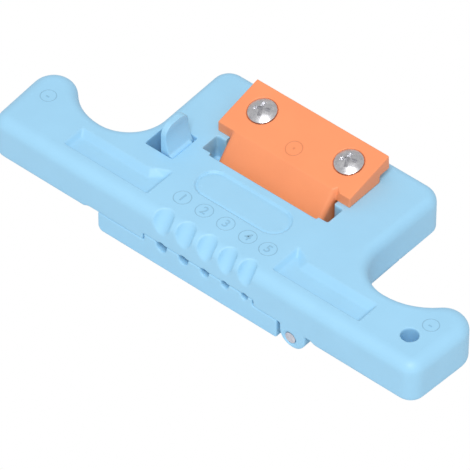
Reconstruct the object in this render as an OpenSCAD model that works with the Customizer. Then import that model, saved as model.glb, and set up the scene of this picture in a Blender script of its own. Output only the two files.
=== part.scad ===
// Five-groove mid-span stripper for fibre buffer tubes.
// Origin: middle of the lid's underside. +X runs along the wings, the front face looks towards -Y,
// +Z is up.
// Distances from the front face are written with yf(), heights above the lid's underside are plain.

/* [Body] */
// Length from wing end to wing end
tool_len = 133.4; // [128:0.2:145]
// Depth from the front face to the back edge
tool_depth = 50.8; // [50:0.2:56]
// Thickness of the body over the lid
body_t = 10.7; // [10.2:0.1:13]
// How far the wings hang below the body's seat on the lid
wing_drop = 1.2; // [0.6:0.1:2.4]
// Width of the centre section at the neck of the finger recesses
centre_w = 67.2; // [66:0.2:72]
// Depth of a wing at its narrowest
neck_depth = 16; // [15:0.2:18]
// Depth of a wing at its hooked tip
tip_depth = 23.4; // [22:0.2:25]
// Radius of a wing tip
tip_r = 6; // [5:0.1:6.5]
// Radius of the finger recess
finger_r = 10.5; // [9.5:0.1:11.5]
// Radius of the front corners of the wings
front_corner_r = 4; // [3.6:0.1:5]
// Radius of the back corners of the centre section
back_corner_r = 4.8; // [4:0.1:6]
// Outward lean of the wing ends
end_flare = 0.85; // [0.4:0.05:1.2]
// Outward lean of the centre section's sides
side_flare = 0.5; // [0:0.05:1]
// Width of the rounding on the front and end edges of the top
soft_edge = 3.3; // [2.4:0.1:3.5]
// Width of the rounding on the back edges of the top
back_edge = 2.4; // [1.6:0.1:3]
// Height of the rounding all round the top
edge_h = 3; // [2:0.1:3.5]
// Radius of the bottom edge of the wings
foot_r = 1; // [0.5:0.1:1.5]
// Wall left around the pockets under the wings
wall = 2.4; // [2:0.1:3]
// Skin left above the pockets under the wings
skin = 3.6; // [3.2:0.1:5]
// Thickness of the ribs under the wings
rib_t = 1.6; // [1.2:0.1:2.2]
// Number of pockets in a row under each wing
wing_bays = 3; // [2:1:3]

/* [Thumb rests] */
// Distance of the thumb rests from the front face
rest_front = 4.4; // [4:0.1:5.5]
// Distance of a thumb rest's inner end from the middle
rest_in = 19.4; // [19:0.1:22]
// Distance of a thumb rest's outer end from the middle
rest_out = 45.4; // [40:0.2:50]
// Depth of a thumb rest at its inner end
rest_in_depth = 9.4; // [8:0.1:10]
// Depth of a thumb rest at its outer end
rest_out_depth = 5.3; // [4.5:0.1:6]
// How far the thumb rests are sunk
rest_sink = 1.1; // [0.6:0.1:1.5]

/* [Hang hole] */
// Radius of the hole through the right wing
hang_r = 2.2; // [1.5:0.1:2.6]
// Distance of the hole from the middle
hang_x = 57.6; // [56:0.1:59]
// Distance of the hole from the front face
hang_from_front = 8.6; // [8:0.1:10]
// Wall of the boss round the hole
boss_wall = 1.8; // [1.4:0.1:2.2]

/* [Label field] */
// Length of the bare oval field on top
label_len = 26; // [20:0.5:28]
// Width of the oval field
label_w = 8; // [6:0.2:8.6]
// Depth of the oval field
label_sink = 0.35; // [0.2:0.05:0.6]
// Distance of the field's middle from the front face
label_from_front = 17.2; // [16:0.1:18]

/* [Grooves] */
// Outer diameter of the largest tube
tube_big = 3.0; // [2.8:0.1:3.1]
// Step in diameter from one groove to the next
tube_step = 0.275; // [0.1:0.025:0.3]
// Distance of the first groove from the middle
groove_first = -11.35; // [-12:0.05:-11]
// Flat land between two neighbouring grooves
groove_land = 3.1; // [2.5:0.05:3.2]
// Extra width of a groove at the parting face
groove_flare = 0.9; // [0.6:0.1:1.2]
// Depth of a groove as a share of its tube's diameter
groove_depth = 0.83; // [0.7:0.01:0.95]
// Extra radius of the scallop over each groove
scallop_extra = 1.2; // [0.8:0.1:1.4]
// How far a scallop reaches back on top
scallop_back = 4; // [3:0.1:4.2]
// How far a scallop reaches down the front face
scallop_down = 5.6; // [4.5:0.1:6]

/* [Lid] */
// Thickness of the lid's wings
lid_t = 6.1; // [5.6:0.1:7]
// Height of the grooved block above the lid's wings
block_rise = 2; // [1.4:0.1:2.4]
// Width of the grooved block
block_w = 34.4; // [34.2:0.1:36]
// Distance of the lid's latch end from the middle
lid_left = 31.4; // [30.5:0.1:32.5]
// Radius of the lid's long bottom edge at the latch end
lid_edge_r = 2; // [1:0.1:2.6]
// Radius of the other bottom edges
lid_soft_r = 0.8; // [0.4:0.1:1.2]
// Gap between the grooved block and the step in the body
block_gap = 0.4; // [0.3:0.05:0.6]
// Depth of the pockets inside the lid
lid_pocket = 3.4; // [2:0.1:3.8]

/* [Hinge] */
// Distance of the hinge pin from the middle
pin_x = 28.5; // [28:0.1:29.5]
// Radius of the hinge pin
pin_r = 1.5; // [1.2:0.05:1.7]
// Radius of the lid's knuckle, which is also the pin's height
knuckle_r = 2.8; // [2.6:0.05:3]
// Running clearance of the knuckle on the pin
pin_clear = 0.06; // [0.03:0.01:0.1]
// Clearance of the pin in the ears that hold it
pin_hold = 0.02; // [0.01:0.01:0.05]
// Length of the front ear
front_ear = 7; // [5:0.5:10]
// Radius of the front ear
front_ear_r = 3.8; // [3.6:0.1:4]
// Length of the rear ear
rear_ear = 9; // [6:0.5:12]
// Distance of the hinge's back end from the front face
hinge_end = 47.4; // [44:0.2:48]
// Gap between the ears and the lid
ear_gap = 0.4; // [0.3:0.05:0.6]
// Gap between the lid's end and the ears
lid_gap = 1; // [0.8:0.1:1.4]
// Wall of an ear beside the knuckle's circle
ear_margin = 0.3; // [0.2:0.1:0.5]

/* [Latch] */
// Left edge of the latch window, from the middle
window_out = 31; // [30.9:0.1:31.2]
// Right edge of the latch window, from the middle
window_in = 22.4; // [22.2:0.1:22.8]
// Distance of the window from the front face
window_front = 17.1; // [17:0.1:18]
// Depth of the window from front to back
window_d = 9.3; // [8.8:0.1:10]
// Width of the ledge that the hook holds
ledge_w = 1.2; // [0.8:0.1:1.2]
// Distance of the ledge below the top
ledge_down = 1.8; // [1.6:0.1:2.4]
// Thickness of the latch arm
arm_t = 2.2; // [1.8:0.1:2.4]
// Height of the thumb tab above the top
tab_h = 8; // [5:0.2:8.2]
// Radius of the tab's top corners
tab_r = 3; // [2:0.1:3.6]
// Gap between the latch and the window's front and back edges
latch_gap = 0.4; // [0.3:0.05:0.6]
// Radius of the latch arm's rounded foot
foot_pivot_r = 1.7; // [1.5:0.1:1.9]
// Clearance of the foot in the lid
foot_clear = 0.08; // [0.05:0.01:0.1]
// Height of the foot's centre above the lid's underside
foot_z = 3.4; // [3.2:0.1:3.6]
// Gap between the hook and the ledge it holds
hook_gap = 0.05; // [0.02:0.01:0.1]

/* [Blade cassette] */
// Width of the cassette over its ears
cassette_w = 41; // [40:0.2:43]
// Width of the cassette's lower part
cassette_low_w = 32.2; // [31.6:0.1:32.6]
// Depth of the cassette's top from front to back
cassette_d = 14.6; // [14:0.1:15.4]
// Distance of the cassette from the front face
cassette_front = 31.6; // [31.2:0.1:32]
// Height of the cassette's front edge above the top
cassette_h = 3.05; // [2.6:0.05:3.6]
// Rise of the cassette's top towards the back, in degrees
cassette_tilt = 13.3; // [11:0.1:15]
// Lean of the front wall from upright, in degrees
front_lean = 40.3; // [38:0.1:42]
// Height of the pry gap under the cassette's back lip
lip_gap = 2.2; // [1.4:0.1:2.6]
// Depth of the cassette's back lip
lip_d = 3.3; // [2.4:0.1:3.8]
// Clearance between the cassette and the well
well_clear = 0.25; // [0.15:0.05:0.35]
// Half width of the well's open mouth
mouth_half = 19.5; // [19.3:0.1:20]
// Distance of the well from the front face
well_front = 23.8; // [23.4:0.1:24.4]

/* [Blades] */
// Thickness of a blade
blade_t = 0.5; // [0.3:0.05:0.6]
// Length of a blade
blade_len = 7.6; // [7:0.1:8]
// Rise of the blades towards the back, in degrees
blade_angle = 25; // [22:0.5:28]
// How far the cutting edges stand into the grooves
blade_bite = 0.6; // [0.3:0.05:0.8]
// Distance of the cutting edges from the front face
edge_from_front = 28; // [27.8:0.1:28.6]
// How much narrower than its tube a blade is
blade_margin = 0.2; // [0.1:0.05:0.4]

/* [Screws] */
// Distance of the cassette screws from the middle
screw_x = 13.45; // [13:0.05:13.8]
// Place of the screws along the cassette's slope
screw_along = 8.3; // [7.8:0.1:8.8]
// Radius of a screw head
head_r = 3.65; // [3.2:0.05:3.9]
// Height of a screw head
head_h = 1.9; // [1.4:0.1:2.4]
// Depth of the counterbore for a head
head_sink = 0.8; // [0.5:0.1:1.2]
// Radius of a screw's shank
shank_r = 1.5; // [1.2:0.05:1.6]
// Length of a screw under its head
shank_len = 11.5; // [10.5:0.1:12]
// Radius of a threaded insert
insert_r = 2.3; // [2.1:0.05:2.5]
// Length of a threaded insert
insert_len = 4.2; // [3.4:0.1:4.4]
// Clearance of a shank in its hole
shank_clear = 0.2; // [0.1:0.05:0.3]
// Clearance of a shank in its insert
thread_clear = 0.05; // [0.02:0.01:0.1]
// Radius of the small screws under the keeper
keeper_screw_r = 0.9; // [0.7:0.05:1]

/* [Hidden] */

$fn = 64;
eps = 0.01;
past = 1;
blue = [0.64, 0.84, 0.96];
orange = [1, 0.62, 0.42];
steel = [0.78, 0.78, 0.8];
brass = [0.8, 0.66, 0.36];

seat_z = lid_t;
block_z = lid_t + block_rise;
top_z = lid_t + body_t;
wing_z = seat_z - wing_drop;
ear_x = pin_x - knuckle_r - ear_margin;
lid_right = ear_x - lid_gap;
window_back = window_front + window_d;
throat_half = block_w / 2 - block_gap;
groove_count = 5;
grooves = [0:groove_count - 1];

function yf(distance) = distance - tool_depth / 2;
function tube_d(i) = tube_big - i * tube_step;
function groove_w(i) = tube_d(i) + groove_flare;
function groove_x(i) =
    i == 0 ? groove_first : groove_x(i - 1) + (groove_w(i - 1) + groove_w(i)) / 2 + groove_land;

// Draws a front view and gives it the depth from one distance to another behind the front face
module along_y(from, to) {
    translate([0, yf(to), 0]) rotate([90, 0, 0]) linear_extrude(to - from) children();
}

// Draws a side view, y to the right and z up, and gives it a width about x = 0
module side_view(w) {
    rotate([90, 0, 90]) linear_extrude(w, center = true) children();
}
module along_x(from, to) {
    translate([(from + to) / 2, 0, 0]) side_view(to - from) children();
}

module box(x0, x1, y0, y1, z0, z1) {
    translate([x0, y0, z0]) cube([x1 - x0, y1 - y0, z1 - z0]);
}

// A rectangle between two corners with four round corners
module round_box(x0, x1, y0, y1, r) {
    translate([x0 + r, y0]) square([x1 - x0 - 2 * r, y1 - y0]);
    translate([x0, y0 + r]) square([x1 - x0, y1 - y0 - 2 * r]);
    for (x = [x0 + r, x1 - r], y = [y0 + r, y1 - r]) translate([x, y]) circle(r);
}

// ---- outline of the body ----

function round_stretch(c, r, from, to, steps) =
    [for (i = [0:steps]) let (a = from + (to - from) * i / steps) c + r * [cos(a), sin(a)]];
function heading(v) = atan2(v[1], v[0]);

corner_c = [tool_len / 2 - end_flare - front_corner_r, yf(front_corner_r)];
tip_c = [tool_len / 2 - tip_r, yf(tip_depth - tip_r)];
finger_c = [centre_w / 2 + finger_r, yf(neck_depth + finger_r)];
back_c = [centre_w / 2 + side_flare - back_corner_r, yf(tool_depth - back_corner_r)];

// Right half of the outline, from the front to the back, drawn in by one amount on the front and
// ends and by another on the finger recess and the back. A long flank joins the deepest place of
// the finger recess to the wing tip
function flank_r(dx, dy, tip_rr) = (dx * dx + dy * dy - tip_rr * tip_rr) / (2 * (tip_rr - dy));
function half_outline(front_in, back_in) =
    let (corner_rr = front_corner_r - front_in, tip_rr = tip_r - front_in,
         finger_rr = finger_r + back_in, back_rr = back_corner_r - back_in,
         neck_p = finger_c - [0, finger_rr],
         flank_rr = flank_r(neck_p[0] - tip_c[0], neck_p[1] - tip_c[1], tip_rr),
         flank_c = neck_p + [0, flank_rr],
         end_a = heading(tip_c - corner_c) - acos((corner_rr - tip_rr) / norm(tip_c - corner_c)),
         hook_a = heading(flank_c - tip_c),
         flank_a = hook_a + 180 + (90 - hook_a) / flank_steps,
         side_a = heading(finger_c - back_c) + acos((finger_rr + back_rr) / norm(finger_c - back_c)))
    concat(round_stretch(corner_c, corner_rr, -90, end_a, corner_steps),
           round_stretch(tip_c, tip_rr, end_a, hook_a, tip_steps),
           round_stretch(flank_c, flank_rr, flank_a, 270, flank_steps - 1),
           round_stretch(finger_c, finger_rr, 270 - 90 / finger_steps, side_a + 180, finger_steps),
           round_stretch(back_c, back_rr, side_a, 90, back_steps));
function whole_outline(front_in, back_in) =
    let (half = half_outline(front_in, back_in), n = len(half))
    concat(half, [for (i = [n - 1:-1:0]) [-half[i][0], half[i][1]]]);

// Skin over a stack of outlines, each given as [points, height]. Both ends are closed by fans, each
// given as [hub, indices of the outline's points around it]
module stack(rings, fans) {
    n = len(rings[0][0]);
    m = len(rings);
    hubs = len(fans);
    polyhedron(
        points = concat(
            [for (ring = rings) for (p = ring[0]) [p[0], p[1], ring[1]]],
            [for (ring = [rings[0], rings[m - 1]]) for (fan = fans) [fan[0][0], fan[0][1], ring[1]]]),
        faces = concat(
            [for (f = [0:hubs - 1]) let (around = fans[f][1], k = len(around))
                for (i = [0:k - 1]) [m * n + f, around[i], around[(i + 1) % k]]],
            [for (f = [0:hubs - 1]) let (around = fans[f][1], k = len(around), lid = (m - 1) * n)
                for (i = [0:k - 1]) [m * n + hubs + f, lid + around[(i + 1) % k], lid + around[i]]],
            [for (k = [0:m - 2]) for (i = [0:n - 1]) let (j = (i + 1) % n)
                each [[k * n + i, (k + 1) * n + j, k * n + j],
                      [k * n + i, (k + 1) * n + i, (k + 1) * n + j]]]));
}

corner_steps = 7;
tip_steps = 13;
flank_steps = 7;
finger_steps = 11;
back_steps = 8;

module body_shell() {
    foot_steps = 3;
    edge_steps = 6;
    count = len(whole_outline(0, 0));
    // a wing's end and the centre section meet on a line from the finger recess to the front corner
    neck = corner_steps + tip_steps + 1 + flank_steps;
    wing_hub = [corner_c[0], yf(neck_depth / 2)];
    fans = [
        [wing_hub, [for (i = [0:neck]) i]],
        [[0, yf(neck_depth / 2)], [for (i = [neck:count - 1 - neck]) i, count - 1, 0]],
        [[-wing_hub[0], wing_hub[1]], [for (i = [count - 1 - neck:count - 1]) i]]];
    foot = [for (k = [0:foot_steps]) let (a = 90 * k / foot_steps, d = foot_r * (1 - sin(a)))
        [whole_outline(d, d), wing_z + foot_r * (1 - cos(a))]];
    edge = [for (k = [0:edge_steps]) let (a = 90 * k / edge_steps, s = 1 - cos(a))
        [whole_outline(soft_edge * s, back_edge * s), top_z - edge_h * (1 - sin(a))]];
    stack(concat(foot, edge), fans);
}

// ---- cuts and additions of the body ----

// The underside steps up over the lid, and once more over its grooved block
module lid_seat() {
    step_r = 3.4;
    seat_half = centre_w / 2;
    along_y(-past, tool_depth + past) {
        translate([-seat_half, wing_z - past]) square([2 * seat_half, wing_drop + past]);
        intersection() {
            for (side = [-1, 1]) translate([side * seat_half, seat_z - step_r]) circle(step_r);
            translate([-tool_len / 2, wing_z - past]) square([tool_len, wing_drop + past]);
        }
        translate([-block_w / 2, wing_z]) square([block_w, block_z - wing_z]);
    }
}

// One of a row of pockets between two distances, with ribs between them
function bay(from, to, count, i) =
    let (pitch = (to - from + rib_t) / count) [from + i * pitch, from + (i + 1) * pitch - rib_t];

// Pockets from below
module pockets() {
    shoulder = 2;
    hinge_bays = 4;
    side_in = block_w / 2 + wall;
    latch_side = [[wall, window_front - wall], bay(window_back + wall, tool_depth - wall, 2, 0),
                  bay(window_back + wall, tool_depth - wall, 2, 1)];
    for (side = [-1, 1], i = [0:wing_bays - 1])
        let (x = bay(centre_w / 2 + wall + shoulder, tool_len / 2 - end_flare - wall, wing_bays, i))
        box(side > 0 ? x[0] : -x[1], side > 0 ? x[1] : -x[0],
            yf(wall), yf(neck_depth - wall), wing_z - past, top_z - skin);
    // on the latch side of the grooved block
    for (y = latch_side)
        box(wall - centre_w / 2, -side_in, yf(y[0]), yf(y[1]), seat_z - past, top_z - skin);
    // between the grooved block and the hinge
    for (i = [0:hinge_bays - 1]) let (y = bay(wall, tool_depth - wall, hinge_bays, i))
        box(side_in, lid_right, yf(y[0]), yf(y[1]), seat_z - past, top_z - skin);
}

// Side view of how a thumb rest's back runs out to the top, as [distance, share of the depth]
rest_run_out = [[0, 0], [0.35, 0.3], [0.65, 0.72], [0.85, 0.93], [1, 1]];

module thumb_rest() {
    run = 3.4;
    curve_steps = 8;
    function back_at(t) = rest_out_depth + (rest_in_depth - rest_out_depth) * pow(t, 1.6);
    function ring_at(shift) = concat(
        [[rest_in, yf(rest_front)], [rest_out, yf(rest_front)]],
        [for (k = [0:curve_steps]) let (t = k / curve_steps)
            [rest_out + (rest_in - rest_out) * t, yf(rest_front + back_at(t) - shift)]]);
    low_rings = [for (k = [len(rest_run_out) - 1:-1:0])
        [ring_at(run * rest_run_out[k][0]), top_z - rest_sink * rest_run_out[k][1]]];
    hub = [(rest_in + rest_out) / 2, yf(rest_front + 0.3)];
    stack(concat(low_rings, [[ring_at(0), top_z + past]]), [[hub, [for (i = [0:curve_steps + 2]) i]]]);
}

module scallops() {
    slope = atan2(scallop_down, scallop_back);
    chord = norm([scallop_down, scallop_back]);
    for (i = grooves) let (r = tube_d(i) / 2 + scallop_extra)
        translate([groove_x(i), yf(0), top_z - scallop_down])
            rotate([slope - 90, 0, 0]) translate([0, -r, -chord / 2]) cylinder(r = r, h = 2 * chord);
}

// Shallow arches over the tubes on the underside
module tube_arches() {
    arch = 0.35;
    along_y(-past, tool_depth + past)
        for (i = grooves) let (r = tube_d(i) / 2) translate([groove_x(i), block_z + arch - r]) circle(r);
}

shelf_n = [sin(cassette_tilt), cos(cassette_tilt)];
top_front = [yf(cassette_front), top_z + cassette_h];
function on_top(along) = top_front + along * [cos(cassette_tilt), sin(cassette_tilt)];
function below_top(along, deep) = on_top(along) + deep * [sin(cassette_tilt), -cos(cassette_tilt)];
rear_wall_along = cassette_d / cos(cassette_tilt) - lip_d;
shelf_deep = 8.6;
step_y = yf(35.2);

// Depth below the cassette's slope at which a plane parallel to it stands over a given y
function shelf_z(y) = below_top(0, shelf_deep)[1] + (y - below_top(0, shelf_deep)[0]) * tan(cassette_tilt);

module well() {
    half = cassette_low_w / 2 + well_clear;
    mouth_floor = block_z + 1.6;
    mouth_step = 0.8;
    mouth_end = 1.4;
    // throat over the blades, open to the grooves
    box(-throat_half, throat_half, yf(well_front), step_y + well_clear, block_z - past, top_z + past);
    // wide mouth in front of the cassette's ears
    translate([0, 0, mouth_floor]) linear_extrude(top_z)
        round_box(-mouth_half, mouth_half, yf(well_front + mouth_step), yf(cassette_front - mouth_end),
                  0.5);
    // pocket over the shelf that carries the screws
    along_x(-half, half) polygon([
        [step_y, shelf_z(step_y) - well_clear],
        below_top(rear_wall_along + well_clear, shelf_deep + well_clear),
        below_top(rear_wall_along + well_clear, -past),
        [step_y, top_z + past]]);
}

module latch_window() {
    corner = 0.4;
    translate([0, 0, wing_z]) linear_extrude(top_z)
        round_box(-window_out, -window_in - ledge_w, yf(window_front), yf(window_back), corner);
    translate([0, 0, top_z - ledge_down]) linear_extrude(top_z)
        round_box(-window_out, -window_in, yf(window_front), yf(window_back), corner);
}

module label_field() {
    half = (label_len - label_w) / 2;
    translate([0, yf(label_from_front), top_z - label_sink]) linear_extrude(past) {
        square([2 * half, label_w], center = true);
        for (side = [-1, 1]) translate([side * half, 0]) circle(d = label_w);
    }
}

// Ears of the hinge, part of the body
module ear_profile(r, lift, shift) {
    translate([pin_x + shift, knuckle_r + lift]) circle(r);
    translate([ear_x, knuckle_r + lift]) square([pin_x + shift + r - ear_x, seat_z - knuckle_r]);
}
module hinge_ears() {
    front_lift = 1.3;
    front_shift = 0.7;
    along_y(0, front_ear) ear_profile(front_ear_r, front_lift, front_shift);
    along_y(hinge_end - rear_ear, hinge_end) ear_profile(knuckle_r, 0, 0);
}
pin_end = hinge_end - 0.6;
module pin_bore(r, from, to) {
    translate([pin_x, yf(from), knuckle_r]) rotate([-90, 0, 0]) cylinder(r = r, h = to - from);
}

module at_screw(side) {
    place = on_top(screw_along);
    translate([side * screw_x, place[0], place[1]]) rotate([cassette_tilt, 0, 0]) children();
}

module at_insert(side) {
    at_screw(side) translate([0, 0, -shelf_deep - well_clear - insert_len]) children();
}

module body() {
    pin_sink = 0.4;
    pin_ring = 0.5;
    color(blue) difference() {
        union() {
            difference() {
                body_shell();
                lid_seat();
            }
            hinge_ears();
        }
        difference() {
            pockets();
            translate([hang_x, yf(hang_from_front), 0]) cylinder(r = hang_r + boss_wall, h = top_z);
        }
        for (side = [0, 1]) mirror([side, 0, 0]) thumb_rest();
        scallops();
        tube_arches();
        well();
        latch_window();
        label_field();
        translate([hang_x, yf(hang_from_front), 0]) cylinder(r = hang_r, h = top_z + past);
        pin_bore(pin_r + pin_hold, -past, pin_end);
        pin_bore(pin_r + pin_ring, -past, pin_sink);
        for (side = [-1, 1]) at_insert(side) cylinder(r = insert_r, h = insert_len + past);
    }
}

// ---- lid ----

knuckle_from = front_ear + ear_gap;
knuckle_to = hinge_end - rear_ear - ear_gap;

module lid_blank() {
    intersection() {
        along_y(0, tool_depth) {
            difference() {
                translate([-lid_left, 0]) square([lid_left + lid_right, seat_z]);
                translate([-lid_left, 0]) difference() {
                    translate([-past, -past]) square(lid_edge_r + past);
                    translate([lid_edge_r, lid_edge_r]) circle(lid_edge_r);
                }
                translate([lid_right - lid_soft_r, 0]) difference() {
                    translate([0, -past]) square([lid_soft_r + past, lid_soft_r + past]);
                    translate([0, lid_soft_r]) circle(lid_soft_r);
                }
            }
            translate([-throat_half, seat_z - eps]) square([2 * throat_half, block_rise + eps]);
        }
        along_x(-tool_len, tool_len) {
            translate([yf(0), lid_soft_r]) square([tool_depth, block_z]);
            round_box(yf(0), yf(tool_depth), 0, block_z, lid_soft_r);
        }
    }
}

module knuckle() {
    arm_over_pin = 1.6;
    along_y(knuckle_from, knuckle_to) {
        translate([pin_x, knuckle_r]) circle(knuckle_r);
        translate([lid_right - past, 0]) square([pin_x - lid_right + past, knuckle_r + arm_over_pin]);
    }
}

module groove_cuts() {
    along_y(-past, tool_depth + past)
        for (i = grooves)
            let (r = tube_d(i) / 2, floor_z = block_z - tube_d(i) * groove_depth, w = groove_w(i))
            translate([groove_x(i), 0]) {
                translate([0, floor_z + r]) circle(r);
                polygon([[-r, floor_z + r], [r, floor_z + r], [w / 2, block_z + past],
                         [-w / 2, block_z + past]]);
            }
}

// Slot that carries the latch's foot and lets the arm swing outwards
module foot_slot() {
    swing = 1.2;
    front_room = 0.4;
    along_y(latch_front - foot_clear, latch_back + foot_clear) {
        translate([latch_x, foot_z]) circle(foot_pivot_r + foot_clear);
        translate([latch_x - foot_pivot_r - swing, foot_z])
            square([2 * foot_pivot_r + swing + front_room, lid_t]);
    }
}

module lid() {
    margin = 2.6;
    corner = 0.8;
    color(blue) difference() {
        union() {
            lid_blank();
            knuckle();
        }
        groove_cuts();
        pin_bore(pin_r + pin_clear, knuckle_from - past, knuckle_to + past);
        foot_slot();
        // pockets that keep the walls even
        for (y = [[window_back + margin, tool_depth - margin], [margin, window_front - margin]])
            translate([0, 0, seat_z - lid_pocket]) linear_extrude(lid_t)
                round_box(margin - lid_left, -(block_w + margin) / 2, yf(y[0]), yf(y[1]), corner);
    }
}

// ---- latch ----

swing_gap = 4.5;
latch_left = swing_gap - window_out;
latch_x = latch_left + arm_t / 2;
latch_front = window_front + latch_gap;
latch_back = window_back - latch_gap;

// Front view of the arm and the thumb tab, hollowed on the thumb's side
module arm_profile() {
    thumb_r = 12;
    thumb_z = 5;
    nose_drop = 1.7;
    bulge = 0.9;
    right = latch_left + arm_t;
    difference() {
        translate([latch_left, foot_z]) square([arm_t + bulge, top_z + tab_h - foot_z]);
        translate([right - 0.6 + thumb_r, top_z + thumb_z]) circle(thumb_r);
        translate([right, 0]) square([past + arm_t, top_z - nose_drop]);
        translate([right - 0.5, top_z + thumb_z]) square(tab_h);
    }
}

// Side view of the latch, with the two top corners round
module tab_outline() {
    straight_h = top_z + tab_h - tab_r;
    translate([yf(latch_front), 0]) square([latch_back - latch_front, straight_h]);
    translate([yf(latch_front + tab_r), 0]) square([latch_back - latch_front - 2 * tab_r, top_z + tab_h]);
    for (y = [latch_front + tab_r, latch_back - tab_r]) translate([yf(y), straight_h]) circle(tab_r);
}

module latch() {
    nose_short = 1;
    nose_gap = 0.15;
    hook_x = latch_left + arm_t - eps;
    nose_x = -window_in - nose_gap;
    hook_z = top_z - ledge_down + hook_gap;
    color(blue) {
        intersection() {
            along_y(latch_front, latch_back) arm_profile();
            along_x(-tool_len / 2, 0) tab_outline();
        }
        // foot that the arm bends about
        along_y(latch_front, latch_back) translate([latch_x, foot_z]) circle(foot_pivot_r);
        along_y(latch_front, latch_back - nose_short) polygon([
            [hook_x, hook_z], [nose_x, hook_z], [nose_x, top_z - 0.8], [nose_x - 0.4, top_z - 0.3],
            [hook_x, top_z - 0.1]]);
    }
}

// ---- hinge pin ----

module hinge_pin() {
    sunk = 0.3;
    color(steel) pin_bore(pin_r, sunk, pin_end - pin_hold);
}

// ---- blade cassette ----

edge_point = [yf(edge_from_front), block_z - blade_bite];
// Height of the blades' underside over a given y, and of their upper side
function blade_low(y) = edge_point[1] + (y - edge_point[0]) * tan(blade_angle);
function blade_top(y) = blade_low(y) + blade_t / cos(blade_angle);
edge_reach = 1;
well_gap = 1.5;
cap_y = yf(edge_from_front + edge_reach);
throat_y = yf(well_front + well_gap);

module cassette_side() {
    toe_z = block_z + 1.9;
    toe_h = 0.4;
    front_run = (top_front[0] - throat_y) / tan(front_lean);
    polygon([
        top_front, on_top(rear_wall_along), below_top(rear_wall_along, shelf_deep),
        [step_y, shelf_z(step_y)], [step_y, blade_top(step_y)], [cap_y, blade_top(cap_y)],
        [edge_point[0] - toe_h, toe_z], [throat_y, toe_z + toe_h],
        [throat_y, top_front[1] - front_run]]);
}

module cassette_housing() {
    lip_z = top_z + lip_gap;
    lip_round = 0.3;
    back = on_top(cassette_d / cos(cassette_tilt));
    lip_y = below_top(rear_wall_along, 0)[0];
    color(orange) difference() {
        union() {
            along_x(-cassette_low_w / 2, cassette_low_w / 2) cassette_side();
            // slab with the ears and the back lip
            along_x(-cassette_w / 2, cassette_w / 2) polygon([
                top_front, back, [back[0] + lip_round, lip_z], [lip_y, lip_z], [lip_y, top_z],
                [top_front[0], top_z]]);
        }
        for (side = [-1, 1]) at_screw(side) {
            translate([0, 0, -head_sink]) cylinder(r = head_r + shank_clear, h = head_sink + past);
            translate([0, 0, -shelf_deep - past])
                cylinder(r = shank_r + shank_clear, h = shelf_deep + past);
        }
        keeper_holes(keeper_screw_len + 0.4);
    }
}

keeper_gap = 0.1;
keeper_screw_len = 4;
// Places of the keeper's screws, in the lands next to the outer blades
module at_keeper_screws() {
    for (i = [1, groove_count - 1])
        translate([(groove_x(i - 1) + groove_x(i)) / 2, step_y - 1.6, block_z + keeper_gap]) children();
}
module keeper_holes(len) {
    at_keeper_screws() translate([0, 0, -past]) cylinder(r = keeper_screw_r, h = len + past, $fn = 32);
}

module blade_keeper() {
    blade_gap = 0.04;
    color(orange) difference() {
        along_x(-cassette_low_w / 2, cassette_low_w / 2)
            intersection() {
                polygon([[cap_y, blade_low(cap_y) - past], [step_y, blade_low(cap_y) - past],
                         [step_y, blade_top(step_y)], [cap_y, blade_top(cap_y)]]);
                translate([cap_y, block_z + keeper_gap]) square([step_y - cap_y, body_t]);
            }
        for (i = grooves) blade_blank(i, blade_gap);
        keeper_holes(keeper_screw_len);
    }
}

module keeper_screws() {
    sunk = 0.2;
    color(steel) at_keeper_screws()
        translate([0, 0, sunk]) cylinder(r = keeper_screw_r, h = keeper_screw_len, $fn = 32);
}

module blade_blank(i, grow) {
    w = tube_d(i) - blade_margin + 2 * grow;
    translate([groove_x(i) - w / 2, edge_point[0], edge_point[1]]) rotate([blade_angle, 0, 0])
        translate([0, -grow, 0]) cube([w, blade_len + 2 * grow, past + blade_t]);
}

// A blade lies on the keeper's slope, ground to an edge on its upper side
module blade(i) {
    bevel_len = 1.4;
    w = tube_d(i) - blade_margin;
    color(steel) translate([groove_x(i), edge_point[0], edge_point[1]]) rotate([blade_angle, 0, 0])
        side_view(w)
            polygon([[0, 0], [blade_len, 0], [blade_len, blade_t], [bevel_len, blade_t]]);
}
// ---- fasteners ----

// Pan head with a cross recess, seated in the cassette's counterbore
module cassette_screw(side) {
    cross_w = 1;
    cross_len = 4.2;
    cross_deep = 1.3;
    cross_turn = 20;
    rim_h = head_h - dome_rise;
    color(steel) at_screw(side) translate([0, 0, -head_sink]) {
        difference() {
            rotate_extrude() {
                square([head_r, rim_h]);
                intersection() {
                    square([head_r, head_h]);
                    translate([0, head_h - dome_r]) circle(dome_r);
                }
            }
            for (a = [0, 90]) rotate(a + cross_turn)
                translate([-cross_len / 2, -cross_w / 2, head_h - cross_deep])
                cube([cross_len, cross_w, head_h]);
        }
        translate([0, 0, -shank_len]) cylinder(r = shank_r, h = shank_len + eps);
    }
}
dome_rise = 1.1;
dome_r = (head_r * head_r + dome_rise * dome_rise) / (2 * dome_rise);

module threaded_insert(side) {
    color(brass) at_insert(side) difference() {
        cylinder(r = insert_r, h = insert_len);
        translate([0, 0, -past]) cylinder(r = shank_r + thread_clear, h = insert_len + 2 * past);
    }
}

body();
lid();
latch();
hinge_pin();
cassette_housing();
blade_keeper();
keeper_screws();
blade(0);  // blade_1
blade(1);  // blade_2
blade(2);  // blade_3
blade(3);  // blade_4
blade(4);  // blade_5
cassette_screw(-1);  // cassette_screw_left
cassette_screw(1);  // cassette_screw_right
threaded_insert(-1);  // threaded_insert_left
threaded_insert(1);  // threaded_insert_right
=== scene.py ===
"""Looks of a five-groove mid-span fibre stripper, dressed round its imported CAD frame.

Every piece is in metres, in the CAD frame: the origin is the middle of the lid's underside, +X runs
along the wings, the front face looks towards -Y and +Z is up.
"""

import logging
import math
from dataclasses import dataclass, field, replace
from enum import Enum
from typing import Sequence

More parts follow.
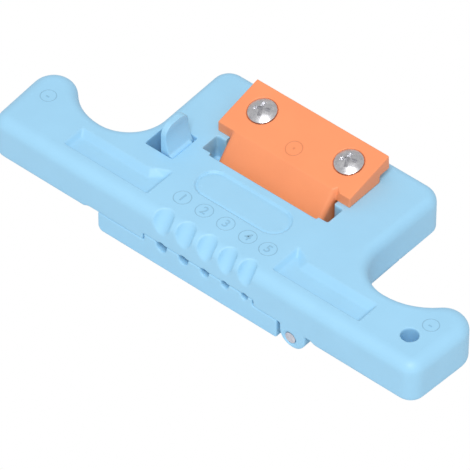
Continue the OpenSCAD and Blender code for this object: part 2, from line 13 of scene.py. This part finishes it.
import bmesh
import bpy
from mathutils import Matrix, Vector


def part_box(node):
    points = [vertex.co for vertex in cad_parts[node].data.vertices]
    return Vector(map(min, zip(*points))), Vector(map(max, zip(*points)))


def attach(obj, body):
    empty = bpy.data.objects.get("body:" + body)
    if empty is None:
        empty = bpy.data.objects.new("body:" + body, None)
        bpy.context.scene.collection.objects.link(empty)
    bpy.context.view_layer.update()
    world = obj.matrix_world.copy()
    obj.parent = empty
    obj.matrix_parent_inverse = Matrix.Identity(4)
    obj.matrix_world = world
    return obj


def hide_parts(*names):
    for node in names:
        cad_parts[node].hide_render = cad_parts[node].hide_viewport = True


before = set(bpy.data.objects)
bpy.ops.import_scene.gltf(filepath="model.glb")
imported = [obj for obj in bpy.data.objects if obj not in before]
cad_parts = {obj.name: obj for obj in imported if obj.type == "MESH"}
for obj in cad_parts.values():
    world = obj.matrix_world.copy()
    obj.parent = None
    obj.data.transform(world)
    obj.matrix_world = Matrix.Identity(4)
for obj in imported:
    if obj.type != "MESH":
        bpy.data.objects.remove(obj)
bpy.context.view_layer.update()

log = logging.getLogger("stripper")
MM = 0.001
Colour = tuple[float, float, float]


class Body(Enum):
    """The bodies that pieces ride on."""

    MAIN = "body"
    LID = "lid"
    LATCH = "latch"


class Slot(Enum):
    """The record's material slots."""

    BLUE = "blue_plastic"
    ORANGE = "orange_plastic"
    PIN = "pin_steel"
    SCREW = "screw_steel"
    BLADE = "blade_steel"
    INSERT = "insert_brass"


def linear(red: int, green: int, blue: int) -> Colour:
    """Turns a colour as seen on a screen into scene light.

    Args:
        red, green, blue: the colour's parts, from 0 to 255.

    Returns:
        The same colour in linear values.
    """
    parts = (c / 255 for c in (red, green, blue))
    return tuple(c / 12.92 if c <= 0.04045 else ((c + 0.055) / 1.055) ** 2.4 for c in parts)


# ---- materials ----


class Graph:
    """A small wrapper that adds and joins nodes of one node tree."""

    def __init__(self, tree: bpy.types.NodeTree) -> None:
        self.tree = tree

    def add(self, kind: str, **values: object) -> bpy.types.Node:
        """Adds a node.

        Args:
            kind: the node's type name.
            values: properties of the node, or values of its inputs by name.

        Returns:
            The new node.
        """
        node = self.tree.nodes.new(kind)
        for key, value in values.items():
            if hasattr(node, key):
                setattr(node, key, value)
            else:
                node.inputs[key.replace("_", " ")].default_value = value
        return node

    def join(self, source: bpy.types.NodeSocket, target: bpy.types.NodeSocket) -> None:
        """Joins an output to an input."""
        self.tree.links.new(source, target)

    def object_place(self) -> bpy.types.NodeSocket:
        """Returns the output that gives a point's place on the object."""
        return self.add("ShaderNodeTexCoord").outputs["Object"]

    def split(self, given: bpy.types.Node, seen: bpy.types.Node, end: bpy.types.Node) -> None:
        """Ends the tree with one shader for the light and another for the camera.

        Args:
            given: the shader that lights the part.
            seen: the shader that the camera sees.
            end: the tree's output node.
        """
        path = self.add("ShaderNodeLightPath")
        mix = self.add("ShaderNodeMixShader")
        self.join(path.outputs["Is Camera Ray"], mix.inputs[0])
        self.join(given.outputs[0], mix.inputs[1])
        self.join(seen.outputs[0], mix.inputs[2])
        self.join(mix.outputs[0], end.inputs["Surface"])


def grain_group() -> bpy.types.NodeTree:
    """Makes the fine grain that moulded and ground surfaces share.

    Returns:
        A group with a place, a fine scale and a broad scale in, and a height and a mottle out.
    """
    group = bpy.data.node_groups.new("surface_grain", "ShaderNodeTree")
    group.interface.new_socket("Place", in_out="INPUT", socket_type="NodeSocketVector")
    for name in ("Fine", "Broad"):
        group.interface.new_socket(name, in_out="INPUT", socket_type="NodeSocketFloat")
    for name in ("Height", "Mottle"):
        group.interface.new_socket(name, in_out="OUTPUT", socket_type="NodeSocketFloat")
    graph = Graph(group)
    start = graph.add("NodeGroupInput")
    end = graph.add("NodeGroupOutput")
    for scale, out, detail in (("Fine", "Height", 3.0), ("Broad", "Mottle", 4.0)):
        noise = graph.add("ShaderNodeTexNoise", Detail=detail, Roughness=0.55)
        graph.join(start.outputs["Place"], noise.inputs["Vector"])
        graph.join(start.outputs[scale], noise.inputs["Scale"])
        graph.join(noise.outputs["Fac"], end.inputs[out])
    return group


GRAIN = grain_group()


@dataclass(frozen=True)
class Finish:
    """A surface that varies a little from place to place.

    Args:
        name: the material's name.
        light, dark: the two colours that the mottle mixes.
        metallic: 1 for bare metal, 0 for plastic.
        smooth, rough: the range of roughness over the surface.
        fine, broad: scales of the grain and the mottle, per metre.
        bump: depth of the grain in metres.
    """

    name: str
    light: Colour
    dark: Colour
    metallic: float = 0.0
    smooth: float = 0.4
    rough: float = 0.5
    fine: float = 2600.0
    broad: float = 90.0
    bump: float = 0.00002

    def with_painted_shade(self, share: float) -> "Finish":
        """Returns the same finish with its colours at a share of their strength: painted shade for the
        lines of the marks.
        """
        return replace(
            self, name=f"{self.name}_painted_shade_in_marks", light=tinted(self.light, share),
            dark=tinted(self.dark, share),
        )

    def build(self) -> bpy.types.Material:
        """Returns the node material of this finish."""
        material = bpy.data.materials.new(self.name)
        material.use_nodes = True
        graph = Graph(material.node_tree)
        shader = material.node_tree.nodes["Principled BSDF"]
        shader.inputs["Metallic"].default_value = self.metallic
        grain = graph.add("ShaderNodeGroup")
        grain.node_tree = GRAIN
        grain.inputs["Fine"].default_value = self.fine
        grain.inputs["Broad"].default_value = self.broad
        graph.join(graph.object_place(), grain.inputs["Place"])
        colours = graph.add("ShaderNodeValToRGB")
        for stop, place, colour in zip(colours.color_ramp.elements, (0.3, 0.7), (self.dark, self.light)):
            stop.position = place
            stop.color = (*colour, 1.0)
        graph.join(grain.outputs["Mottle"], colours.inputs["Fac"])
        graph.join(colours.outputs["Color"], shader.inputs["Base Color"])
        gloss = graph.add("ShaderNodeMapRange")
        limits = {"From Min": 0.3, "From Max": 0.7, "To Min": self.smooth, "To Max": self.rough}
        for name, value in limits.items():
            gloss.inputs[name].default_value = value
        graph.join(grain.outputs["Height"], gloss.inputs["Value"])
        graph.join(gloss.outputs["Result"], shader.inputs["Roughness"])
        bump = graph.add("ShaderNodeBump", Strength=0.5, Distance=self.bump)
        graph.join(grain.outputs["Height"], bump.inputs["Height"])
        graph.join(bump.outputs["Normal"], shader.inputs["Normal"])
        return material


def tinted(colour: Colour, share: float) -> Colour:
    """Returns a colour made lighter or darker by one share of itself."""
    return tuple(min(1.0, c * share) for c in colour)


BLUE = linear(160, 213, 244)
ORANGE = linear(255, 155, 104)
BLUE_PLASTIC = Finish("blue_moulded_plastic", tinted(BLUE, 1.015), tinted(BLUE, 0.975), 0.0, 0.42, 0.56)
ORANGE_PLASTIC = Finish(
    "orange_moulded_plastic", tinted(ORANGE, 1.015), tinted(ORANGE, 0.96), 0.0, 0.42, 0.56
)
PIN_STEEL = Finish("ground_pin_steel", (0.8, 0.76, 0.78), (0.66, 0.62, 0.65), 1.0, 0.3, 0.5, 5200.0, 900.0)
SCREW_STEEL = Finish(
    "plated_screw_steel", (0.8, 0.8, 0.82), (0.58, 0.58, 0.61), 1.0, 0.24, 0.42, 4200.0, 1200.0
)
BLADE_STEEL = Finish(
    "ground_blade_steel", (0.74, 0.75, 0.78), (0.58, 0.6, 0.63), 1.0, 0.2, 0.36, 8000.0, 600.0
)
INSERT_BRASS = Finish("turned_brass", (0.86, 0.67, 0.33), (0.7, 0.5, 0.22), 1.0, 0.25, 0.42, 4200.0, 700.0)


class Shelf:
    """Keeps one built material for each slot, and a darker one of painted shade for the marks on the
    plastics.
    """

    finishes = {
        Slot.BLUE: BLUE_PLASTIC, Slot.ORANGE: ORANGE_PLASTIC, Slot.PIN: PIN_STEEL,
        Slot.SCREW: SCREW_STEEL, Slot.BLADE: BLADE_STEEL, Slot.INSERT: INSERT_BRASS,
    }

    def __init__(self) -> None:
        self.built = {slot: finish.build() for slot, finish in self.finishes.items()}
        # Marks on the plastics take their colours at 0.8 of their strength: painted shade along their
        # lines.
        self.shaded_marks = {
            slot: self.finishes[slot].with_painted_shade(0.8).build() for slot in (Slot.BLUE, Slot.ORANGE)
        }

    def dress(self, obj: bpy.types.Object, slot: Slot, mark: bool = False) -> None:
        """Gives an object one slot's material in place of what it has."""
        obj.data.materials.clear()
        obj.data.materials.append(self.shaded_marks[slot] if mark else self.built[slot])


# ---- making pieces ----


def new_object(name: str, data: bpy.types.ID) -> bpy.types.Object:
    """Adds an object to the scene at the origin."""
    obj = bpy.data.objects.new(name, data)
    bpy.context.scene.collection.objects.link(obj)
    return obj


def baked(obj: bpy.types.Object, place: Matrix = Matrix.Identity(4)) -> bpy.types.Object:
    """Turns an object with modifiers, or a curve or text, into a plain mesh object.

    Args:
        obj: the object, which is taken out of the scene.
        place: where its shape goes in the CAD frame.

    Returns:
        A mesh object of the same name at the origin.
    """
    name = obj.name
    graph = bpy.context.evaluated_depsgraph_get()
    mesh = bpy.data.meshes.new_from_object(obj.evaluated_get(graph), depsgraph=graph)
    bpy.data.objects.remove(obj)
    mesh.transform(place)
    mesh.name = name
    return new_object(name, mesh)


class Workshop:
    """Finishes pieces: smooth shading, material, body, slot and a line in the log."""

    def __init__(self) -> None:
        self.shelf = Shelf()

    def hand_over(
        self, obj: bpy.types.Object, body: Body, slot: Slot, replaced: Sequence[str] = (),
        mark: bool = False,
    ) -> None:
        """Dresses a piece and ties it to the frame.

        Args:
            obj: the piece, a mesh object at the origin.
            body: the body that it rides on.
            slot: the material slot that it belongs to.
            replaced: the CAD nodes that it stands for.
            mark: whether it is a mark on a face, which takes the darker material of painted shade along
                its lines.
        """
        obj.data.shade_smooth()
        self.shelf.dress(obj, slot, mark)
        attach(obj, body.value)
        if replaced:
            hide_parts(*replaced)
        log.info("%s: %d faces on %s", obj.name, len(obj.data.polygons), body.value)

    def keep(self, node: str, slot: Slot) -> None:
        """Shows a CAD node as it is, with its own material."""
        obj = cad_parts[node]
        self.shelf.dress(obj, slot)
        log.info("%s: kept from the CAD model", node)


def spot(x: float, back: float, up: float = 0.0) -> Vector:
    """Gives a place on the body's top.

    Args:
        x: distance from the middle to the right, in millimetres.
        back: distance behind the front face, in millimetres.
        up: height over the top, in millimetres.

    Returns:
        The place in the CAD frame.
    """
    low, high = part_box("body")
    return Vector((x * MM, low[1] + back * MM, high[2] + up * MM))


def lofted(name: str, low: Sequence[Vector], high: Sequence[Vector]) -> bpy.types.Object:
    """Makes a closed solid between two outlines that have as many points.

    Args:
        name: the object's name.
        low, high: the outlines, both the same way round.

    Returns:
        The solid as an object.
    """
    solid = bmesh.new()
    base = solid.faces.new([solid.verts.new(point) for point in low])
    grown = bmesh.ops.extrude_face_region(solid, geom=[base])["geom"]
    for corner in (part for part in grown if isinstance(part, bmesh.types.BMVert)):
        nearest = min(range(len(low)), key=lambda i: (low[i] - corner.co).length)
        corner.co = high[nearest]
    bmesh.ops.triangulate(solid, faces=solid.faces[:])
    bmesh.ops.recalc_face_normals(solid, faces=solid.faces[:])
    mesh = bpy.data.meshes.new(name)
    solid.to_mesh(mesh)
    solid.free()
    return new_object(name, mesh)


class Work(Enum):
    """What a tool does to a solid."""

    FILL = "UNION"
    CUT = "DIFFERENCE"


def worked(obj: bpy.types.Object, work: Work, tools: Sequence[bpy.types.Object]) -> None:
    """Fills or cuts an object with each tool.

    Args:
        obj: the object that is worked on.
        work: whether it is filled or cut.
        tools: closed solids, taken in turn.
    """
    for tool in tools:
        step = obj.modifiers.new(work.name.lower(), "BOOLEAN")
        step.operation = work.value
        step.solver = "EXACT"
        step.object = tool


@dataclass(frozen=True)
class Skin:
    """A moulded skin over one CAD solid, with the soft edges that a mould leaves.

    Args:
        node: the CAD node that is softened.
        body, slot: what it rides on and its material.
        voxel: size of the skin's cells in metres.
        passes: how often the edges are smoothed.
        share: share of the faces that is kept.
    """

    node: str
    body: Body
    slot: Slot
    voxel: float
    passes: int
    share: float

    def prepare(self, solid: bmesh.types.BMesh) -> None:
        """Changes the copied solid before it gets its skin."""

    def plugs(self) -> list[bpy.types.Object]:
        """Returns the blocks that fill places which are cut afresh."""
        return []

    def hollows(self) -> list[bpy.types.Object]:
        """Returns the tools that cut hollows."""
        return []

    def build(self, shop: Workshop) -> bpy.types.Object:
        """Makes the skin and hands it over.

        Args:
            shop: the workshop that finishes it.

        Returns:
            The skin.
        """
        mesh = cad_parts[self.node].data.copy()
        solid = bmesh.new()
        solid.from_mesh(mesh)
        bmesh.ops.remove_doubles(solid, verts=solid.verts, dist=0.002 * MM)
        self.prepare(solid)
        solid.to_mesh(mesh)
        solid.free()
        obj = new_object(f"{self.node}_skin", mesh)
        plugs, hollows = self.plugs(), self.hollows()
        worked(obj, Work.FILL, plugs)
        worked(obj, Work.CUT, hollows)
        cells = obj.modifiers.new("cells", "REMESH")
        cells.mode = "VOXEL"
        cells.voxel_size = self.voxel
        smooth = obj.modifiers.new("soft", "SMOOTH")
        smooth.factor = 0.5
        smooth.iterations = self.passes
        fewer = obj.modifiers.new("fewer", "DECIMATE")
        fewer.ratio = self.share
        skin = baked(obj)
        for tool in (*plugs, *hollows):
            bpy.data.objects.remove(tool)
        shop.hand_over(skin, self.body, self.slot, (self.node,))
        return skin


@dataclass(frozen=True)
class ThumbRest:
    """A thumb rest sunk in the top, in millimetres.

    Args:
        inner, outer: its ends, from the middle.
        front, back: its edges, behind the front face.
        slope: width of the slope along its back.
        end: width of the slopes at its ends.
        sink: how deep its floor lies.
        horn_w, horn_d: width and reach of its inner back corner.
        horn_tip: size of the flat on that corner.
        margin: how far the plug reaches past the edges.
        plug_deep: how deep the plug goes.
        plug_wide: length of the plug's wider part behind the horn.
    """

    inner: float = 19.4
    outer: float = 45.8
    front: float = 4.4
    back: float = 11.4
    slope: float = 1.9
    end: float = 1.1
    sink: float = 1.4
    horn_w: float = 5.0
    horn_d: float = 2.6
    horn_tip: float = 0.3
    margin: float = 0.4
    plug_deep: float = 1.6
    plug_wide: float = 12.0

    def outline(self, side: int, share: float) -> list[Vector]:
        """Gives the rest's outline at one height.

        Args:
            side: 1 for the right wing, -1 for the left one.
            share: share of the way down to the floor, below 0 over the top.

        Returns:
            The points of the outline.
        """
        inner, outer = self.inner + self.end * share, self.outer - self.end * share
        back = self.back - self.slope * share
        up = -self.sink * share
        plan = (
            (inner, self.front), (outer, self.front), (outer, back),
            (self.inner + self.horn_w - share, back),
            (inner + self.horn_tip, back + self.horn_d),
            (inner, back + self.horn_d - self.horn_tip),
        )
        return [spot(side * x, y, up) for x, y in plan]

    def tool(self, side: int) -> bpy.types.Object:
        """Makes the tool that cuts the rest on one side."""
        above = -0.4
        return lofted("rest_tool", self.outline(side, 1.0), self.outline(side, above))

    def plug(self, side: int) -> bpy.types.Object:
        """Makes the block that fills the top where the rest is cut afresh."""
        inner, outer = self.inner - self.margin, self.outer + self.margin
        front, back = self.front - self.margin, self.back + self.margin
        step, horn = inner + self.plug_wide, back + self.horn_d
        plan = (
            (inner, front), (outer, front), (outer, back), (step, back), (step, horn), (inner, horn),
        )
        low, high = ([spot(side * x, y, up) for x, y in plan] for up in (-self.plug_deep, 0.0))
        return lofted("rest_plug", low, high)


@dataclass(frozen=True)
class Field:
    """The bare oval field on top, in millimetres.

    Args:
        length, width: its size.
        behind: distance of its middle from the front face.
        sink: its depth.
        line: radius of the round groove along its edge.
        line_at: how deep the groove's middle lies, as a share of the depth.
        over: how far the tool stands over the top.
        turns: steps in each round end.
    """

    length: float = 26.9
    width: float = 8.3
    behind: float = 16.9
    sink: float = 0.3
    line: float = 0.4
    line_at: float = 0.6
    over: float = 1.0
    turns: int = 16

    def outline(self, up: float) -> list[Vector]:
        """Returns the oval at a height over the top, in millimetres."""
        radius = self.width / 2
        points = []
        for side in (1, -1):
            for i in range(self.turns + 1):
                angle = math.pi * (i / self.turns - 0.5) + (0 if side > 0 else math.pi)
                x = side * (self.length / 2 - radius) + radius * math.cos(angle)
                points.append(spot(x, self.behind + radius * math.sin(angle), up))
        return points

    def tool(self) -> bpy.types.Object:
        """Makes the tool that cuts the field."""
        return lofted("field_tool", self.outline(-self.sink), self.outline(self.over))

    def groove(self) -> bpy.types.Object:
        """Makes the tool that cuts the groove along the field's edge."""
        return tube("field_groove_tool", self.outline(-self.sink * self.line_at), self.line * MM)


def tube(name: str, points: Sequence[Vector], radius: float) -> bpy.types.Object:
    """Makes a round tube along a closed row of points.

    Args:
        name: the object's name.
        points: the row, in the CAD frame.
        radius: the tube's radius in metres.

    Returns:
        The tube as an object.
    """
    curve = bpy.data.curves.new(name, "CURVE")
    curve.dimensions = "3D"
    curve.bevel_depth = radius
    curve.bevel_resolution = 4
    spline = curve.splines.new("POLY")
    spline.points.add(len(points) - 1)
    for knot, point in zip(spline.points, points):
        knot.co = (*point, 1)
    spline.use_cyclic_u = True
    return baked(new_object(name, curve))


@dataclass(frozen=True)
class BodySkin(Skin):
    """The body's skin, with its thumb rests and oval field.

    Args:
        rest, field_on_top: the hollows in its top.
    """

    rest: ThumbRest = field(default_factory=ThumbRest)
    field_on_top: Field = field(default_factory=Field)

    def plugs(self) -> list[bpy.types.Object]:
        """Returns the blocks that fill the thumb rests."""
        return [self.rest.plug(side) for side in (-1, 1)]

    def hollows(self) -> list[bpy.types.Object]:
        """Returns the tools of the thumb rests, the field and its groove."""
        rests = [self.rest.tool(side) for side in (-1, 1)]
        return [*rests, self.field_on_top.tool(), self.field_on_top.groove()]


@dataclass(frozen=True)
class CassetteSkin(Skin):
    """The cassette's skin, with rounded corners on its slanted front wall.

    Args:
        corner: radius of those corners in metres.
        level: how far a corner's edge may lean sideways.
        shortest: the least that it runs back and up.
        near: how far it may start from the front.
    """

    corner: float = 2.8 * MM
    level: float = 0.01 * MM
    shortest: float = 2 * MM
    near: float = 0.05 * MM

    def at_corner(self, edge: bmesh.types.BMEdge, front: float) -> bool:
        """Tells whether an edge is one of the slanted corners.

        Args:
            edge: the edge.
            front: the solid's least Y.

        Returns:
            Whether it leans back from the front and ends above the body's top.
        """
        a, b = (v.co for v in edge.verts)
        run = b - a
        leans = abs(run.x) < self.level and min(abs(run.y), abs(run.z)) > self.shortest
        starts = abs(min(a.y, b.y) - front) < self.near
        return leans and starts and max(a.z, b.z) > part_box("body")[1][2]

    def prepare(self, solid: bmesh.types.BMesh) -> None:
        """Rounds the two slanted corners."""
        bmesh.ops.dissolve_limit(
            solid, angle_limit=math.radians(1), verts=solid.verts[:], edges=solid.edges[:]
        )
        front = min(v.co.y for v in solid.verts)
        slanted = [edge for edge in solid.edges if self.at_corner(edge, front)]
        log.info("cassette_housing: %d slanted corners rounded", len(slanted))
        bmesh.ops.bevel(
            solid, geom=slanted, offset=self.corner, offset_type="OFFSET", affect="EDGES",
            segments=6, profile=0.5, material=-1, clamp_overlap=True,
        )


SKINS = (
    BodySkin("body", Body.MAIN, Slot.BLUE, 0.28 * MM, 3, 0.28),
    Skin("lid", Body.LID, Slot.BLUE, 0.3 * MM, 2, 0.3),
    Skin("latch", Body.LATCH, Slot.BLUE, 0.16 * MM, 9, 0.5),
    CassetteSkin("cassette_housing", Body.MAIN, Slot.ORANGE, 0.2 * MM, 8, 0.3),
)


# ---- marks moulded on the faces ----


@dataclass(frozen=True)
class Face:
    """A flat face that carries marks.

    Args:
        origin: a point on the face.
        tilt: rise of the face towards the back, in radians.
        body, slot: the body and the material slot of its piece.
    """

    origin: Vector
    tilt: float
    body: Body
    slot: Slot

    def place(self, x: float, y: float) -> Matrix:
        """Returns the matrix of a spot on the face, x to the right and y up the slope."""
        slope = Matrix.Rotation(self.tilt, 4, "X")
        return Matrix.Translation(self.origin) @ slope @ Matrix.Translation((x, y, 0))


@dataclass(frozen=True)
class Marks:
    """Thin raised lines on a face, in a darker material that paints shade into them.

    Args:
        line: half width of a line.
        proud: how far a line stands above its face.
    """

    line: float = 0.25 * MM
    proud: float = 0.06 * MM

    def ring(
        self, shop: Workshop, name: str, face: Face, x: float, y: float, radius: float
    ) -> None:
        """Lays a ring round a spot of a face.

        Args:
            shop: the workshop that finishes it.
            name: its name.
            face: the face.
            x, y: the spot, to the right and up the slope, in metres.
            radius: the ring's radius in metres.
        """
        curve = bpy.data.curves.new(name, "CURVE")
        curve.dimensions = "3D"
        curve.bevel_depth = self.line
        curve.bevel_resolution = 3
        curve.resolution_u = 12
        spline = curve.splines.new("BEZIER")
        spline.bezier_points.add(3)
        for i, point in enumerate(spline.bezier_points):
            angle = i * math.tau / 4
            point.co = (radius * math.cos(angle), radius * math.sin(angle), 0)
            point.handle_left_type = point.handle_right_type = "AUTO"
        spline.use_cyclic_u = True
        sunk = Matrix.Translation((0, 0, self.proud - self.line))
        piece = baked(new_object(name, curve), face.place(x, y) @ sunk)
        shop.hand_over(piece, face.body, face.slot, mark=True)

    def digit(
        self, shop: Workshop, name: str, face: Face, x: float, y: float, text: str, height: float
    ) -> None:
        """Raises one plain character on a face.

        Args:
            shop: the workshop that finishes it.
            name: its name.
            face: the face.
            x, y: the spot, to the right and up the slope, in metres.
            text: the character.
            height: the text's size in metres.
        """
        letters = bpy.data.curves.new(name, "FONT")
        letters.body = text
        letters.size = height
        letters.align_x = "CENTER"
        letters.align_y = "CENTER"
        letters.extrude = self.proud
        letters.offset = 0.04 * MM
        piece = baked(new_object(name, letters), face.place(x, y))
        shop.hand_over(piece, face.body, face.slot, mark=True)


@dataclass(frozen=True)
class MarkLayout:
    """Where the marks sit and how large they are, in millimetres.

    Args:
        numbers: places of the numbers, from the middle to the right.
        behind: how far the numbers lie behind the front face.
        number_ring: radius of the ring round a number.
        text: size of the numbers and bars.
        ejector: place of the ejector rings, from the middle and behind the front face.
        ejector_ring: their radius.
        slope_foot: a spot on the cassette's sloping top, behind the front face and over the top.
        slope_rise: rise of that slope in degrees.
        up_slope: distance of the cassette's ring from that spot.
        cassette_ring, cassette_dot: radii of the ring and the dot in it.
    """

    numbers: tuple[float, ...] = (-12.0, -5.2, 1.5, 8.3, 14.5)
    behind: float = 8.7
    number_ring: float = 2.2
    text: float = 3.4
    ejector: tuple[float, float] = (59.4, 14.2)
    ejector_ring: float = 2.0
    slope_foot: tuple[float, float] = (31.6, 3.05)
    slope_rise: float = 13.3
    up_slope: float = 4
    cassette_ring: float = 2.1
    cassette_dot: float = 0.2

    def build(self, shop: Workshop) -> None:
        """Lays every mark.

        Args:
            shop: the workshop that finishes the marks.
        """
        marks = Marks()
        top = Face(spot(0, 0), 0.0, Body.MAIN, Slot.BLUE)
        tilt = math.radians(self.slope_rise)
        slope = Face(spot(0, *self.slope_foot), tilt, Body.MAIN, Slot.ORANGE)
        for i, x in enumerate(self.numbers, 1):
            place = (x * MM, self.behind * MM)
            marks.ring(shop, f"number_ring_{i}", top, *place, self.number_ring * MM)
            marks.digit(shop, f"number_{i}", top, *place, str(i), self.text * MM)
        for side, name in ((-1, "left"), (1, "right")):
            place = (side * self.ejector[0] * MM, self.ejector[1] * MM)
            marks.ring(shop, f"ejector_ring_{name}", top, *place, self.ejector_ring * MM)
            marks.digit(shop, f"ejector_bar_{name}", top, *place, "-", self.text * MM)
        for name, radius in (("ring", self.cassette_ring), ("dot", self.cassette_dot)):
            marks.ring(shop, f"cassette_{name}", slope, 0, self.up_slope * MM, radius * MM)


# ---- studio ----


@dataclass(frozen=True)
class Lamp:
    """A soft box.

    Args:
        name: its name.
        towards: direction from the part to the lamp.
        distance: how far it stands.
        size: its side.
        power: its power in watts.
    """

    name: str
    towards: tuple[float, float, float]
    distance: float
    size: float
    power: float

    def build(self, aim: Vector) -> None:
        """Sets the lamp up so that it looks at a point."""
        data = bpy.data.lights.new(self.name, "AREA")
        data.shape = "SQUARE"
        data.size = self.size
        data.energy = self.power
        lamp = new_object(self.name, data)
        way = Vector(self.towards).normalized()
        lamp.location = aim + way * self.distance
        lamp.rotation_euler = (-way).to_track_quat("-Z", "Y").to_euler()


@dataclass(frozen=True)
class Studio:
    """Camera, lamps, surroundings and floor.

    Args:
        azimuth, elevation: direction of the camera from the part, in degrees.
        aim: the point in the middle of the picture.
        distance: from the aim to the camera.
        lens: focal length in millimetres on a 36 mm sensor.
        around: strength of the light that comes from all sides.
    """

    azimuth: float = 40.37
    elevation: float = 45.13
    aim: Vector = Vector((5.57 * MM, -18.15 * MM, 16.8 * MM))
    distance: float = 1.414
    lens: float = 459.7
    around: float = 0.57
    lamps: tuple[Lamp, ...] = (Lamp("key", (0.3, -0.45, 0.84), 1.8, 0.7, 18.5),)

    def build(self) -> None:
        """Sets everything up."""
        self.camera()
        for lamp in self.lamps:
            lamp.build(Vector((0, 0, 0.01)))
        self.surroundings()
        self.floor()
        bpy.context.scene.view_settings.view_transform = "Standard"

    def camera(self) -> None:
        """Adds the camera."""
        data = bpy.data.cameras.new("camera")
        data.lens = self.lens
        data.clip_end = 10
        camera = new_object("camera", data)
        turn, rise = math.radians(self.azimuth), math.radians(self.elevation)
        back = Vector((math.sin(turn) * math.cos(rise), -math.cos(turn) * math.cos(rise), math.sin(rise)))
        camera.location = self.aim + back * self.distance
        camera.rotation_euler = (-back).to_track_quat("-Z", "Y").to_euler()
        bpy.context.scene.camera = camera

    def surroundings(self) -> None:
        """White all round for the camera, and a calmer light for the part."""
        world = bpy.data.worlds.new("surroundings")
        bpy.context.scene.world = world
        world.use_nodes = True
        graph = Graph(world.node_tree)
        seen = world.node_tree.nodes["Background"]
        seen.inputs["Color"].default_value = (1, 1, 1, 1)
        given = graph.add("ShaderNodeBackground")
        given.inputs["Color"].default_value = (1, 1, 1, 1)
        given.inputs["Strength"].default_value = self.around
        graph.split(given, seen, world.node_tree.nodes["World Output"])

    def floor(self) -> None:
        """Lays a pale floor just under the part."""
        sheet = bmesh.new()
        bmesh.ops.create_grid(sheet, x_segments=1, y_segments=1, size=1.5)
        mesh = bpy.data.meshes.new("floor")
        sheet.to_mesh(mesh)
        sheet.free()
        mesh.transform(Matrix.Translation((0, 0, -0.02 * MM)))
        floor = new_object("floor", mesh)
        material = bpy.data.materials.new("pale_floor")
        material.use_nodes = True
        graph = Graph(material.node_tree)
        shader = material.node_tree.nodes["Principled BSDF"]
        shader.inputs["Roughness"].default_value = 0.9
        shader.inputs["Base Color"].default_value = (0.8, 0.8, 0.8, 1)
        glow = graph.add("ShaderNodeEmission")
        glow.inputs["Color"].default_value = (1, 1, 1, 1)
        graph.split(shader, glow, material.node_tree.nodes["Material Output"])
        mesh.materials.append(material)


# ---- the whole part ----

KEPT = {
    "hinge_pin": Slot.PIN, "blade_keeper": Slot.ORANGE, "keeper_screws": Slot.SCREW,
    "cassette_screw_left": Slot.SCREW, "cassette_screw_right": Slot.SCREW,
    "threaded_insert_left": Slot.INSERT, "threaded_insert_right": Slot.INSERT,
    **{f"blade_{i}": Slot.BLADE for i in range(1, 6)},
}


def main() -> None:
    """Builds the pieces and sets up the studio."""
    logging.basicConfig(level=logging.INFO, format="%(name)s: %(message)s")
    shop = Workshop()
    for skin in SKINS:
        skin.build(shop)
    for node, slot in KEPT.items():
        shop.keep(node, slot)
    MarkLayout().build(shop)
    Studio().build()


if __name__ == "__main__":
    main()
